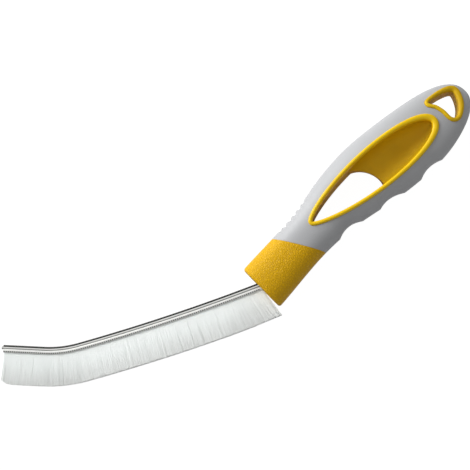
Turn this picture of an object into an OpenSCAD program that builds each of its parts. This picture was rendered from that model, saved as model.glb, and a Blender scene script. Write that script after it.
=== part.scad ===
// Grout brush: a bent strip of nylon bristles in a steel channel, held by a two-colour loop handle.
// It lies on its side. X runs along the tip run of the strip towards the butt, Y points away from
// the bristles and Z is up. The origin is below the middle of the brush, at its lowest point.

/* [Handle] */
// Length of the handle from its mouth to its butt
handle_length = 156.5; // [150:0.5:164]
// Angle of the handle to the X axis, in degrees
handle_angle = 45; // [42:1:48]
// Width of the handle at its mouth
mouth_w = 28.2; // [26.5:0.1:30]
// Thickness of the handle at its mouth
mouth_t = 21; // [20:0.5:24]
// Width of the handle at its waist, under the thumb ribs
waist_w = 26.8; // [25.5:0.1:29]
// Width of the handle at its belly
belly_w = 40; // [38:0.1:43]
// Thickness of the handle at its belly
belly_t = 26; // [24:0.5:29]
// Distance of the waist from the mouth
waist_at = 32; // [29:0.5:35]
// Distance of the widest place from the mouth
belly_at = 98; // [94:0.5:103]
// Distance of the thickest place from the mouth
thick_at = 88; // [82:0.5:94]
// Offset of the handle's middle line at its mouth, towards the thumb
mouth_rise = 0.9; // [0:0.1:2]
// Offset of the handle's middle line at its crest, towards the thumb
crest_rise = 4.9; // [4:0.1:5.6]
// Distance of the crest from the mouth
crest_at = 60; // [56:1:66]
// Distance from the mouth beyond which the middle line runs straight
shoulder_at = 132; // [126:1:138]
// Power of the curve that rounds the cross-section
section_power = 2.4; // [2.2:0.05:2.7]
// Power of the curve that closes the butt in its width
butt_power = 2.25; // [2.1:0.05:2.4]
// Power of the curve that closes the butt in its thickness
thin_power = 1.9; // [1.8:0.05:2.2]
// Rounding of the front edge of the collar
mouth_round = 1.5; // [0.8:0.1:2.2]

/* [Collar and core] */
// Distance of the collar's rear joint from the mouth, on the middle line
joint_at = 30.6; // [29:0.5:32]
// Slant of the collar's rear joint, in degrees
joint_slant = 31; // [26:1:34]
// Width of the core that joins collar and grip
core_w = 18; // [17:0.5:19]
// Thickness of the core
core_t = 14; // [13:0.5:15.5]
// Offset of the core from the handle axis, towards the thumb
core_rise = 2; // [1.5:0.1:2.6]
// Depth of the core's front face behind the mouth
core_inset = 0.8; // [0.5:0.1:1.5]
// Length of the core
core_length = 38.6; // [37.5:0.1:39.4]

/* [Grip] */
// Distance of the first thumb rib from the mouth
rib_at = 31.1; // [30:0.1:32]
// Distance from rib to rib
rib_pitch = 4.1; // [3.8:0.1:4.4]
// Number of thumb ribs
rib_count = 5; // [3:1:6]
// Width of a thumb rib
rib_w = 2.9; // [2.4:0.1:3.3]
// Height of a thumb rib above its recess
rib_h = 0.95; // [0.5:0.05:1.3]
// Distance of the first finger scallop's middle from the mouth
scallop_at = 57.5; // [56:0.5:60]
// Distance from scallop to scallop
scallop_pitch = 27.3; // [25:0.1:29]
// Number of finger scallops
scallop_count = 3; // [2:1:3]
// Length of a finger scallop
scallop_w = 16; // [13:0.5:19]
// Depth of a finger scallop
scallop_depth = 2.1; // [1:0.1:2.8]

/* [Loop and hanging eye] */
// Distance of the loop's front tip from the mouth
loop_at = 44.5; // [44:0.1:46]
// Distance between the openings of the loop and of the hanging eye
bridge_w = 7.1; // [6.5:0.1:9]
// Width of the loop's opening
loop_w = 19.4; // [18:0.1:21]
// Offset of the loop's axis at its front tip, towards the thumb
loop_rise = 6.2; // [5.5:0.1:7]
// Offset of the loop's axis at its butt end, towards the thumb
loop_fall = -0.3; // [-1:0.1:1]
// Distance of the hanging eye's opening from the butt
butt_margin = 6.7; // [6:0.1:8]
// Length of the hanging eye's opening
eye_length = 14.6; // [13:0.1:15]
// Width of the hanging eye's opening
eye_w = 16.4; // [14.5:0.1:17]
// Width of the liners' beads
bead_w = 2.3; // [1.8:0.1:2.6]
// Extra width of the beads at the butt end of each opening
bead_swell = 1.3; // [0:0.1:1.5]
// Height of the beads above the grip
bead_h = 1; // [0.6:0.1:1.5]
// Thickness of the web across the rear of the loop
web_t = 2.4; // [1.6:0.1:3.5]
// Rise of the dished web from its middle to its edge
web_dish = 5; // [3:0.5:6]
// Radius of the web's arched front edge
arch_r = 16.7; // [15:0.1:18]
// Distance of the arch's centre from the mouth
arch_at = 71.2; // [69:0.1:73]

/* [Strip] */
// Angle of the main run to the X axis where it enters the handle, in degrees
main_angle = 21.3; // [19:0.1:23]
// Angle of the tip run to the X axis, in degrees
tip_angle = -2; // [-4:0.5:2]
// Length of the straight tip run
tip_run = 23; // [20:1:32]
// Bend radius of the strip behind its tip run
tip_bend_r = 60; // [50:1:75]
// Gentle turn of the main run along its length, in degrees
main_turn = 5.3; // [3:0.1:7]
// Length of the main run
main_run = 104.2; // [94:0.2:112]
// Offset of the strip's back where it enters the mouth, towards the thumb
entry_rise = 4.5; // [4.1:0.1:5.1]
// Bend radius of the tang inside the core
tang_bend_r = 15; // [12:0.5:17]
// Length of the straight tang inside the core
tang_run = 24; // [20:1:26]
// Width of the steel channel
channel_w = 4.4; // [4:0.1:5]
// Height of the steel channel
channel_h = 4.1; // [3.9:0.1:4.6]
// Thickness of the channel's steel
channel_wall = 0.6; // [0.4:0.05:0.7]
// Depth of the rolled groove along the channel's sides
groove_depth = 0.22; // [0.1:0.02:0.3]
// Diameter of the core wire
wire_d = 1.7; // [1.4:0.1:1.8]
// Length of wire that stands out at the tip
wire_out = 1.4; // [0.8:0.1:2.5]

/* [Bristles] */
// Length of the bristles below the channel
bristle_length = 17.6; // [14:0.1:22]
// Distance from tuft to tuft along the strip
tuft_pitch = 1.42; // [1.25:0.01:1.7]
// Share of the pitch that a strand fills
tuft_fill = 0.62; // [0.45:0.01:0.7]
// Rows of strands across the strip
rows = 4; // [3:1:4]
// Width of the bristles at their ends
bristle_spread = 7; // [5:0.1:9]
// Lean of the last bristles along the collar's face, in degrees
heel_lean = 15; // [8:1:17]
// Length of the stretch over which the bristles lean
heel_stretch = 26; // [16:1:36]
// Loss of length of the bristles at the very tip
tip_drop = 2.4; // [0:0.1:3]
// Scatter of the bristles' lengths
trim_scatter = 0.7; // [0:0.1:1]

/* [Fit] */
// Clearance between the handle's pieces
fit = 0.05; // [0.02:0.01:0.1]
// Clearance round the wire, the tang and the bristles' roots
strip_fit = 0.1; // [0.05:0.01:0.15]

/* [Hidden] */
$fn = 48;

section_sides = 32;   // Points round a cross-section of the handle
loop_sides = 60;      // Points round the loop
eye_steps = 4;        // Points from knot to knot of the eye's outline
crown_steps = 5;      // Faces across the crown of a bead
crown_h = 1.2;        // Height of a bead's rounded crown
least_step = 0.25;    // Least distance between two cross-sections
beyond = 60;          // Reach of a cut past the handle

// Helpers
function ease(s) = (1 - cos(180 * min(max(s, 0), 1))) / 2;
function mix(a, b, s) = a + (b - a) * s;
function sorted(list) = len(list) < 2 ? list :
  let (pivot = list[floor(len(list) / 2)])
  concat(sorted([for (x = list) if (x < pivot) x]), [pivot], sorted([for (x = list) if (x > pivot) x]));
function thinned(list) = [for (i = [0 : len(list) - 1])
  if (i == 0 || list[i] - list[max(i - 1, 0)] > least_step) list[i]];
function joined(lists) = [for (list = lists) each list];
function turned(p, angle) = [p[0] * cos(angle) - p[1] * sin(angle), p[0] * sin(angle) + p[1] * cos(angle)];

// Triangles between successive rings of points, each ring with as many sides
function band_faces(rings, sides, wrap = false) = [
  for (i = [0 : rings - (wrap ? 1 : 2)], j = [0 : sides - 1])
    let (next = (i + 1) % rings, k = (j + 1) % sides)
    each [[i * sides + j, next * sides + j, next * sides + k],
          [i * sides + j, next * sides + k, i * sides + k]]];
function start_fan(sides) = [for (j = [1 : sides - 2]) [0, j, j + 1]];
function end_fan(first, sides) = [for (j = [1 : sides - 2]) [first, first + j + 1, first + j]];
function start_cone(tip, sides) = [for (j = [0 : sides - 1]) [tip, j, (j + 1) % sides]];
function end_cone(first, tip, sides) =
  [for (j = [0 : sides - 1]) [first + j, tip, first + (j + 1) % sides]];

// Outline of the handle: u runs from the mouth to the butt, v towards the thumb, w across
function cap(u, from, power) = u <= from ? 1 :
  pow(max(1 - pow((u - from) / (handle_length - from), power), 0), 1 / power);
function mouth_loss(u) =
  u >= mouth_round ? 0 : mouth_round - sqrt(pow(mouth_round, 2) - pow(mouth_round - u, 2));
function half_w(u) = cap(u, belly_at, butt_power) / 2 * (u < waist_at
  ? mix(mouth_w, waist_w, ease(u / waist_at))
  : mix(waist_w, belly_w, ease((u - waist_at) / (belly_at - waist_at)))) - mouth_loss(u);
function half_t(u) =
  cap(u, thick_at, thin_power) * mix(mouth_t, belly_t, ease(u / thick_at)) / 2 - mouth_loss(u);
function middle(u) = u < crest_at
  ? mix(mouth_rise, crest_rise, u / crest_at)
  : mix(crest_rise, 0, ease((u - crest_at) / (shoulder_at - crest_at)));

// Bumps of the thumb ribs and hollows of the finger scallops, each a shallow arc
function arc_bump(u, at, width) = max(0, 1 - pow(2 * (u - at) / width, 2));
ribs_from = rib_at - rib_w / 2;
ribs_end = rib_at + (rib_count - 1) * rib_pitch + rib_w / 2;
recess_ramp = 1.5;    // Length of the slope at either end of the ribs' recess
rib_edge = 5;         // Power that keeps the ribs to the thumb edge
scallop_edge = 2;     // Power that keeps the scallops to the finger edge
function recess(u) = min(max(min(u - ribs_from, ribs_end - u) / recess_ramp + 1, 0), 1);
function rib(u) = rib_h
  * (max([for (i = [0 : rib_count - 1]) arc_bump(u, rib_at + i * rib_pitch, rib_w)]) - recess(u));
function scallop(u) = scallop_depth
  * max([for (i = [0 : scallop_count - 1]) arc_bump(u, scallop_at + i * scallop_pitch, scallop_w)]);

// Point of the handle's surface at distance u and angle a, which is 0 at the thumb edge
function rounded(x) = sign(x) * pow(abs(x), 2 / section_power);
function handle_point(u, a) =
  [u, middle(u) + half_w(u) * rounded(cos(a)) + rib(u) * pow(max(cos(a), 0), rib_edge)
      + scallop(u) * pow(max(-cos(a), 0), scallop_edge),
   half_t(u) * rounded(sin(a))];
function handle_ring(u) = [for (j = [0 : section_sides - 1]) handle_point(u, 360 * j / section_sides)];
// Height of the plain handle's surface above its middle plane
skin_least = 0.02;    // Least share of the height, at the power of the section
function skin_height(u, v) = half_t(u)
  * pow(max(1 - pow(abs(v - middle(u)) / half_w(u), section_power), skin_least), 1 / section_power);

// Cross-sections of the collar and of the grip, closer where the form turns fast
mouth_steps = 4;
collar_steps = 8;
rib_steps = 4;
scallop_steps = 8;
ridge_steps = 3;
butt_steps = 12;
grip_lead = 1;        // Length of grip form cut away before its joint
scallops_end = scallop_at + (scallop_count - 1) * scallop_pitch + scallop_w / 2;
collar_end = joint_at + belly_w / 2 * tan(joint_slant);
grip_start = joint_at - belly_w / 2 * tan(joint_slant) - grip_lead;
collar_stations = thinned(sorted(concat(
  [for (i = [0 : mouth_steps]) mouth_round * (1 - cos(90 * i / mouth_steps))],
  [for (i = [1 : collar_steps]) mix(mouth_round, collar_end, i / collar_steps)])));
grip_stations = thinned(sorted(concat(
  [grip_start, (grip_start + ribs_from) / 2, ribs_from - recess_ramp, ribs_end + recess_ramp],
  joined([for (i = [0 : rib_count - 1]) [for (j = [0 : rib_steps])
    rib_at + i * rib_pitch + rib_w * (j / rib_steps - 0.5)]]),
  joined([for (i = [0 : scallop_count - 1]) [for (j = [0 : scallop_steps])
    scallop_at + i * scallop_pitch + scallop_w * (j / scallop_steps - 0.5)]]),
  joined([for (i = [0 : scallop_count - 2]) [for (j = [1 : ridge_steps])
    scallop_at + i * scallop_pitch + scallop_w / 2
      + (scallop_pitch - scallop_w) * j / (ridge_steps + 1)]]),
  [for (i = [1 : butt_steps - 1]) mix(scallops_end, handle_length, sin(90 * i / butt_steps))])));

module loft(stations, tip = []) {
  rings = len(stations);
  last = (rings - 1) * section_sides;
  polyhedron(
    points = concat(joined([for (u = stations) handle_ring(u)]), tip),
    faces = concat(start_fan(section_sides), band_faces(rings, section_sides),
      len(tip) > 0 ? end_cone(last, rings * section_sides, section_sides) : end_fan(last, section_sides)));
}

// Everything behind the slanted joint of collar and grip
module behind_joint(gap) {
  translate([joint_at, middle(joint_at), 0])
    rotate([0, 0, joint_slant])
      translate([gap, -handle_length, -beyond])
        cube([2 * handle_length, 2 * handle_length, 2 * beyond]);
}

// The hanging eye follows the butt, and the loop's opening ends a bridge before it
eye_at = handle_length - butt_margin - eye_length;
loop_length = eye_at - bridge_w - loop_at;

// Outline of the loop's opening, round at both ends and fullest behind its middle
front_power = 0.75;
back_power = 0.53;
full_at = front_power / (front_power + back_power);
function loop_half_w(s) =
  loop_w / 2 * pow(s / full_at, front_power) * pow((1 - s) / (1 - full_at), back_power);
function loop_point(t) =
  let (s = (1 - cos(t)) / 2, side = t < 180 ? -1 : 1)
  [loop_at + loop_length * s, mix(loop_rise, loop_fall, s) + side * loop_half_w(s)];
loop_outline = [for (i = [0 : loop_sides - 1]) loop_point(360 * i / loop_sides)];

// Outline of the hanging eye, a curve through a few knots given in shares of its length and width
eye_knots = [[0, 0.98], [0.13, 0.5], [0.2, -0.1], [0.2, -0.7], [0.31, -0.93], [0.5, -0.87],
             [0.79, -0.43], [0.98, 0.24], [0.93, 0.56], [0.5, 0.88]];
function knot(k) = let (p = eye_knots[k % len(eye_knots)])
  [eye_at + eye_length * p[0], middle(eye_at) + eye_w / 2 * p[1]];
function between(p, q, r, s, t) =
  q + (r - p) / 2 * t + (2 * p - 5 * q + 4 * r - s) / 2 * t * t + (3 * q - p - 3 * r + s) / 2 * t * t * t;
eye_outline = joined([for (k = [0 : len(eye_knots) - 1]) [for (i = [0 : eye_steps - 1])
  between(knot(k), knot(k + 1), knot(k + 2), knot(k + 3), i / eye_steps)]]);

// Outward direction at each point of a counter-clockwise outline, and the outline moved along it
function outward(line, k) =
  let (n = len(line), d = line[(k + 1) % n] - line[(k + n - 1) % n]) [d[1], -d[0]] / norm(d);
loop_swell = [loop_at, loop_length, 6];  // Where the bead swells, over what length and how late
eye_swell = [eye_at, eye_length, 2];
function bead_width(u, swell) =
  bead_w + bead_swell * pow(min(max((u - swell[0]) / swell[1], 0), 1), swell[2]);
function moved(line, by) = [for (k = [0 : len(line) - 1]) line[k] + outward(line, k) * by];
function liner_edge(line, swell, gap) =
  [for (k = [0 : len(line) - 1]) line[k] + outward(line, k) * (bead_width(line[k][0], swell) + gap)];

// Cross-section of a liner at one point of its outline: a wall with a rounded bead at either end
function liner_ring(p, out, width) =
  let (mid = p + out * width / 2, foot = skin_height(mid[0], mid[1]) + bead_h - crown_h)
  [for (end = [1, -1], i = [0 : crown_steps])
    let (a = 180 * i / crown_steps, r = width / 2 * (1 - end * cos(a)), q = p + out * r)
    [q[0], q[1], end * (foot + crown_h * sin(a))]];
function liner_rings(line, swell) =
  [for (k = [0 : len(line) - 1]) liner_ring(line[k], outward(line, k), bead_width(line[k][0], swell))];
module liner(line, swell) {
  polyhedron(
    points = joined(liner_rings(line, swell)),
    faces = band_faces(len(line), 2 * crown_steps + 2, true));
}

// Dished web across the loop, the same on both faces, fused to the liner's wall
web_steps = 6;
web_hold = 0.8;       // Depth of the web's edge inside the wall
web_share = 0.74;     // Place of the web's middle along the loop
web_power = 4;        // Power of the curve of the web's dish
arch_drop = 2.5;      // Distance of the arch's centre below the handle axis
web_middle = [loop_at + loop_length * web_share, mix(loop_rise, loop_fall, web_share)];
function web_ring(share, side) =
  [for (p = moved(loop_outline, web_hold))
    let (q = mix(web_middle, p, share)) [q[0], q[1], side * (web_t / 2 + web_dish * pow(share, web_power))]];
module web() {
  shares = [for (i = [1 : web_steps]) sin(90 * i / web_steps)];
  rings = 2 * web_steps;
  difference() {
    polyhedron(
      points = concat(
        joined([for (i = [0 : web_steps - 1]) web_ring(shares[i], -1)]),
        joined([for (i = [0 : web_steps - 1]) web_ring(shares[web_steps - 1 - i], 1)]),
        [[web_middle[0], web_middle[1], web_t / 2], [web_middle[0], web_middle[1], -web_t / 2]]),
      faces = concat(band_faces(rings, loop_sides),
        end_cone((rings - 1) * loop_sides, rings * loop_sides, loop_sides),
        start_cone(rings * loop_sides + 1, loop_sides)));
    translate([arch_at, -arch_drop, -beyond])
      cylinder(r = arch_r, h = 2 * beyond);
    translate([arch_at - beyond, -beyond, -beyond])
      cube([beyond, 2 * beyond, 2 * beyond]);
  }
}

// The strip's back line, worked out from where it enters the mouth. s is measured from its tip
tip_turn = main_angle - main_turn - tip_angle;
tang_turn = handle_angle - main_angle;
main_bow_r = main_run / (main_turn * PI / 180);
tip_arc = tip_bend_r * tip_turn * PI / 180;
entry_depth = 1;      // Length of the main run inside the mouth
function ahead(angle) = [cos(angle), sin(angle)];
function below(angle) = [sin(angle), -cos(angle)];
main_end = turned([0, entry_rise], handle_angle) + ahead(main_angle) * entry_depth;
main_centre = main_end - below(main_angle) * main_bow_r;
main_start = main_centre + below(main_angle - main_turn) * main_bow_r;
tip_bend_centre = main_start - below(main_angle - main_turn) * tip_bend_r;
tip_bend_start = tip_bend_centre + below(tip_angle) * tip_bend_r;
strip_tip = tip_bend_start - ahead(tip_angle) * tip_run;
tang_bend_centre = main_end - below(main_angle) * tang_bend_r;
tang_start = tang_bend_centre + below(handle_angle) * tang_bend_r;
main_stop = tip_run + tip_arc + main_run;
tang_arc = tang_bend_r * tang_turn * PI / 180;
function strip_angle(s) =
  s < tip_run + tip_arc ? mix(tip_angle, tip_angle + tip_turn, max(s - tip_run, 0) / tip_arc)
  : s < main_stop ? main_angle - main_turn * (1 - (s - tip_run - tip_arc) / main_run)
  : mix(main_angle, handle_angle, min((s - main_stop) / tang_arc, 1));
function strip_back(s) =
  s < tip_run ? strip_tip + ahead(tip_angle) * s
  : s < tip_run + tip_arc ? tip_bend_centre + below(strip_angle(s)) * tip_bend_r
  : s < main_stop ? main_centre + below(strip_angle(s)) * main_bow_r
  : s < main_stop + tang_arc ? tang_bend_centre + below(strip_angle(s)) * tang_bend_r
  : tang_start + ahead(handle_angle) * (s - main_stop - tang_arc);
function strip_point(s, depth) = strip_back(s) + below(strip_angle(s)) * depth;
heel_gap = 1.5;       // Distance of the bristles' last roots past the mouth, along the back line
bristles_end = tip_run + tip_arc + main_run - entry_depth + heel_gap;
bristles_from = 0.4;  // Distance of the first bristles from the strip's end

// A profile swept along the whole strip: its points are depth below the back, then height across
tip_bend_steps = 8;
main_steps = 6;
tang_bend_steps = 6;
function strip_stations(start, tang) = concat(
  [-start],
  [for (i = [0 : tip_bend_steps]) tip_run + tip_arc * i / tip_bend_steps],
  [for (i = [1 : main_steps]) tip_run + tip_arc + main_run * i / main_steps],
  [for (i = [1 : tang_bend_steps]) main_stop + tang_arc * i / tang_bend_steps],
  [main_stop + tang_arc + tang]);
module along_strip(points, start, tang) {
  stations = strip_stations(start, tang);
  sides = len(points);
  last = (len(stations) - 1) * sides;
  polyhedron(
    points = joined([for (s = stations)
      [for (p = points) let (q = strip_point(s, p[0])) [q[0], q[1], p[1]]]]),
    faces = concat(band_faces(len(stations), sides),
      [[for (j = [0 : sides - 1]) j]], [[for (j = [sides - 1 : -1 : 0]) last + j]]));
}
function box_profile(gap) = [[-gap, channel_w / 2 + gap], [channel_h + gap, channel_w / 2 + gap],
                             [channel_h + gap, -channel_w / 2 - gap], [-gap, -channel_w / 2 - gap]];
function mirrored(half) = concat(half, [for (i = [len(half) - 1 : -1 : 0]) [half[i][0], -half[i][1]]]);
channel_half = channel_w / 2;
cavity_half = channel_half - channel_wall;
back_round = 0.5;     // Chamfer of the channel's back edges
groove_at = 2;        // Depth of the groove's middle below the back
groove_w = 0.9;       // Width of the groove at the surface
groove_floor = 0.3;   // Width of its floor
channel_profile = mirrored([
  [0, channel_half - back_round], [back_round, channel_half],
  [groove_at - groove_w / 2, channel_half], [groove_at - groove_floor / 2, channel_half - groove_depth],
  [groove_at + groove_floor / 2, channel_half - groove_depth], [groove_at + groove_w / 2, channel_half],
  [channel_h, channel_half], [channel_h, cavity_half], [channel_wall, cavity_half]]);
wire_depth = channel_wall + strip_fit + wire_d / 2;
wire_sides = 24;      // Faces round the wire
wire_short = 1;       // Length by which the wire ends before the channel inside the core
wire_profile = [for (i = [0 : wire_sides - 1])
  [wire_depth + wire_d / 2 * sin(360 * i / wire_sides), wire_d / 2 * cos(360 * i / wire_sides)]];

// Bristles: strands in rows, grown from a slice of their doubled roots in the channel.
// The slice's lower face is a grid, in which every strand fills one cell of every second line
root_half = cavity_half - strip_fit;
root_recess = 0.5;    // Depth inside the channel at which the slice parts into strands
lap_drop = 0.45;      // Depth of the roots' top beside the wire, below the wire's middle
root_depth = channel_h - root_recess;
lap_depth = wire_depth + lap_drop;
saddle_depth = wire_depth + wire_d / 2 + strip_fit;  // Depth of the roots' top under the wire
lap_sections = 8;     // Faces along the top of a slice
row_fill = 0.62;      // Share of the row pitch that a strand fills
end_fill = 0.84;      // Width of a strand at its end, as a share of its width at the root
tip_drop_run = 6;     // Length of the stretch over which the tip's bristles get shorter
row_pitch = 2 * root_half / (rows - 1 + row_fill);
row_w = row_fill * row_pitch;
function row_line(j) = -root_half + floor(j / 2) * row_pitch + (j % 2) * row_w;
function scatter(i, r) = rands(0, 1, 1, i * rows + r)[0];
function lean(s) = heel_lean * ease((s - bristles_end + heel_stretch) / heel_stretch);
function strand_length(s, i, r) = bristle_length + root_recess
  - trim_scatter * scatter(i, r) - tip_drop * pow(max(1 - s / tip_drop_run, 0), 2);
function strand_end(s, i, r, side) =
  let (a = strip_angle(s) + lean(s), half = tuft_pitch * tuft_fill * end_fill / 2)
  strip_point(s, root_depth) + below(a) * strand_length(s, i, r) + ahead(a) * side * half;

// Where the lines of the slice's grid lie, and the triangles that join two of its rows of points

function line_at(from, tufts, i) =
  i == 0 ? from : i == 2 * tufts + 1 ? from + tufts * tuft_pitch
  : from + (floor((i - 1) / 2) + 0.5 + ((i - 1) % 2 - 0.5) * tuft_fill) * tuft_pitch;
function stitch(bottom, top, flip) =
  let (nb = len(bottom) - 1, nt = len(top) - 1,
       near = [for (i = [0 : nb - 1]) floor((i + 0.5) / nb * (nt + 1))])
  [for (i = [0 : nb - 1])
     let (face = [bottom[i], bottom[i + 1], top[near[i]]],
          step = i + 1 < nb ? near[i + 1] - near[i] : nt - near[i])
     each concat([flip ? [face[1], face[0], face[2]] : face],
       step < 1 ? [] : [for (m = [near[i] : near[i] + step - 1])
         flip ? [top[m], top[m + 1], bottom[i + 1]] : [top[m + 1], top[m], bottom[i + 1]]])];

module bristle_block(from, tufts, first) {
  lines = 2 * tufts + 2;
  across = 2 * rows;
  grid = function(i, j) i * across + j;
  top = function(m, j) lines * across + m * 3 + j;
  ends = lines * across + (lap_sections + 1) * 3;
  tip = function(i, r, k) ends + (i * rows + r) * 4 + k;
  grid_points = [for (i = [0 : lines - 1], j = [0 : across - 1])
    let (p = strip_point(line_at(from, tufts, i), root_depth)) [p[0], p[1], row_line(j)]];
  top_points = [for (m = [0 : lap_sections], j = [-1 : 1])
    let (p = strip_point(from + tufts * tuft_pitch * m / lap_sections, j == 0 ? saddle_depth : lap_depth))
    [p[0], p[1], j * root_half]];
  strand_points = [for (i = [0 : tufts - 1], r = [0 : rows - 1], k = [0 : 3])
    let (side = (k == 1 || k == 2) ? 1 : -1,
         p = strand_end(from + (i + 0.5) * tuft_pitch, first + i, r, side),
         z = (row_line(2 * r) + row_w / 2) / root_half * bristle_spread / 2)
    [p[0], p[1], z + (k > 1 ? 1 : -1) * row_w / 2]];
  corner = function(i, r, k) grid(2 * i + ((k == 1 || k == 2) ? 2 : 1), 2 * r + (k > 1 ? 1 : 0));
  strand_faces = [for (i = [0 : tufts - 1], r = [0 : rows - 1]) each concat(
    [for (k = [0 : 3]) each
      [[corner(i, r, k), tip(i, r, (k + 1) % 4), corner(i, r, (k + 1) % 4)],
       [corner(i, r, k), tip(i, r, k), tip(i, r, (k + 1) % 4)]]],
    [[tip(i, r, 0), tip(i, r, 2), tip(i, r, 1)], [tip(i, r, 0), tip(i, r, 3), tip(i, r, 2)]])];
  gap_faces = [for (i = [0 : lines - 2], j = [0 : across - 2]) if (i % 2 == 0 || j % 2 == 1) each
    [[grid(i, j), grid(i + 1, j + 1), grid(i + 1, j)], [grid(i, j), grid(i, j + 1), grid(i + 1, j + 1)]]];
  top_faces = [for (m = [0 : lap_sections - 1], j = [0 : 1]) each
    [[top(m, j), top(m + 1, j), top(m + 1, j + 1)], [top(m, j), top(m + 1, j + 1), top(m, j + 1)]]];
  all_lines = [for (i = [0 : lines - 1]) i];
  all_sections = [for (m = [0 : lap_sections]) m];
  polyhedron(
    points = concat(grid_points, top_points, strand_points),
    faces = concat(strand_faces, gap_faces, top_faces,
      stitch([for (i = all_lines) grid(i, 0)], [for (m = all_sections) top(m, 0)], false),
      stitch([for (i = all_lines) grid(i, across - 1)], [for (m = all_sections) top(m, 2)], true),
      stitch([for (j = [0 : across - 1]) grid(0, j)], [for (j = [0 : 2]) top(0, j)], true),
      stitch([for (j = [0 : across - 1]) grid(lines - 1, j)],
             [for (j = [0 : 2]) top(lap_sections, j)], false)));
}
tip_tufts = floor((tip_run + tip_arc / 2 - bristles_from) / tuft_pitch);
heel_from = bristles_from + tip_tufts * tuft_pitch;
heel_tufts = floor((bristles_end - heel_from) / tuft_pitch);

// The brush is moved so that its origin is below the middle of its bounding box
handle_edges = [for (u = concat(collar_stations, grip_stations), a = [0, 180])
  turned(handle_point(u, a), handle_angle)];
tuft_ends = [for (i = [0 : tip_tufts + heel_tufts - 1], r = [0 : rows - 1], side = [-1, 1])
  strand_end(bristles_from + (i + 0.5) * tuft_pitch, i, r, side)];
wire_end = strip_tip - ahead(tip_angle) * wire_out + below(tip_angle) * (wire_depth + wire_d / 2);
outer_points = concat(handle_edges, tuft_ends, [wire_end]);
left = min([for (p = outer_points) p[0]]);
right = max([for (p = outer_points) p[0]]);
low = min([for (p = outer_points) p[1]]);
high = max([for (p = outer_points) p[1]]);
half_height = max([for (p = joined(liner_rings(loop_outline, loop_swell))) p[2]]);
module seated() {
  translate([-(left + right) / 2, -(low + high) / 2, half_height])
    children();
}
module on_handle() {
  seated()
    rotate([0, 0, handle_angle])
      children();
}

// The pieces
module core_block(gap, lead) {
  profile = [for (j = [0 : section_sides - 1]) let (a = 360 * j / section_sides)
    [core_rise + (core_w / 2 + gap) * rounded(cos(a)), (core_t / 2 + gap) * rounded(sin(a))]];
  translate([core_inset - lead, 0, 0])
    rotate([90, 0, 90])
      linear_extrude(lead + core_length + gap)
        polygon(profile);
}
module core_hole() core_block(fit, 2 * core_inset);

module neck_core() color("goldenrod") {
  difference() {
    on_handle() core_block(0, 0);
    seated() along_strip(box_profile(strip_fit), 0, tang_run + strip_fit);
  }
}

module collar() color("gold") on_handle() {
  difference() {
    loft(collar_stations);
    behind_joint(-fit);
    core_hole();
  }
}

module grip() color("darkgray") on_handle() {
  difference() {
    intersection() {
      loft(grip_stations, [[handle_length, middle(handle_length), 0]]);
      behind_joint(0);
    }
    core_hole();
    for (edge = [liner_edge(loop_outline, loop_swell, fit), liner_edge(eye_outline, eye_swell, fit)])
      translate([0, 0, -beyond])
        linear_extrude(2 * beyond)
          polygon(edge);
  }
}

module loop_liner() color("gold") on_handle() {
  liner(loop_outline, loop_swell);
  web();
}

module eye_liner() color("gold") on_handle()
  liner(eye_outline, eye_swell);

module strip_channel() color("silver") seated()
  along_strip(channel_profile, 0, tang_run);

module core_wire() color("silver") seated()
  along_strip(wire_profile, wire_out, tang_run - wire_short);

module bristles_tip() color("white") seated()
  bristle_block(bristles_from, tip_tufts, 0);

module bristles_heel() color("white") seated()
  bristle_block(heel_from, heel_tufts, tip_tufts);

neck_core();
collar();
grip();
loop_liner();
eye_liner();
strip_channel();
core_wire();
bristles_tip();
bristles_heel();
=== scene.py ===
# Grout brush: a bent strip of nylon bristles in a steel channel, held by a two-colour loop handle.
# It lies on its side. Sizes are in metres and angles in radians, in the frame of the solid model.
import math
from functools import partialmethod

import bmesh
import bpy
import numpy as np
from mathutils import Matrix, Vector


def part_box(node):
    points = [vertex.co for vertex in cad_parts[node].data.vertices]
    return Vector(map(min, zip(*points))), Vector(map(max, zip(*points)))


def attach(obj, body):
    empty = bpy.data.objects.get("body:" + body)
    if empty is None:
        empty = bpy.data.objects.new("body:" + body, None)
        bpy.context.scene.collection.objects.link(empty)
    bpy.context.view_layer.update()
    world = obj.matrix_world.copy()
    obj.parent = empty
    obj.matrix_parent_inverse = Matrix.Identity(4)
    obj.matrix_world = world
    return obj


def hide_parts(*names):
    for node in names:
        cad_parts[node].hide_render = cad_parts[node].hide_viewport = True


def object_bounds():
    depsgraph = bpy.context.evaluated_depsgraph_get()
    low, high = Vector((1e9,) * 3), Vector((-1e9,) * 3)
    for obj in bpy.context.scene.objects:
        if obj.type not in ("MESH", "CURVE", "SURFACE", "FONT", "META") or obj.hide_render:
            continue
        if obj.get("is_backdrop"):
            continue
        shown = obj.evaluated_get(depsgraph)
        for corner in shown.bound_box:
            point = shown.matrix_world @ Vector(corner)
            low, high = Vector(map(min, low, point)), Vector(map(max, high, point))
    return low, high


bl_info = {
    "name": "Grout Brush",
    "version": (1, 0, 0),
    "blender": (4, 5, 0),
    "location": "View3D > Sidebar > Grout Brush",
    "description": "Builds a grout brush with a loop handle around its solid model",
    "category": "Add Mesh",
}

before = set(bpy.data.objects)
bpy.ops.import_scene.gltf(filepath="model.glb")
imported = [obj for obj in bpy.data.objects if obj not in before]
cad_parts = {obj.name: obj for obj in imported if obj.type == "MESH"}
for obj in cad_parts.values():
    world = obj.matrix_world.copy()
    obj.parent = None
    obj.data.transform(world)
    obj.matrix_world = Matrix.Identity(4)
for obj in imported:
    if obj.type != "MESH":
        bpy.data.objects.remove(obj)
cad_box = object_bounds()

MM = 0.001
NEAR_ZERO = 1e-9
WELD = 0.001 * MM


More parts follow.
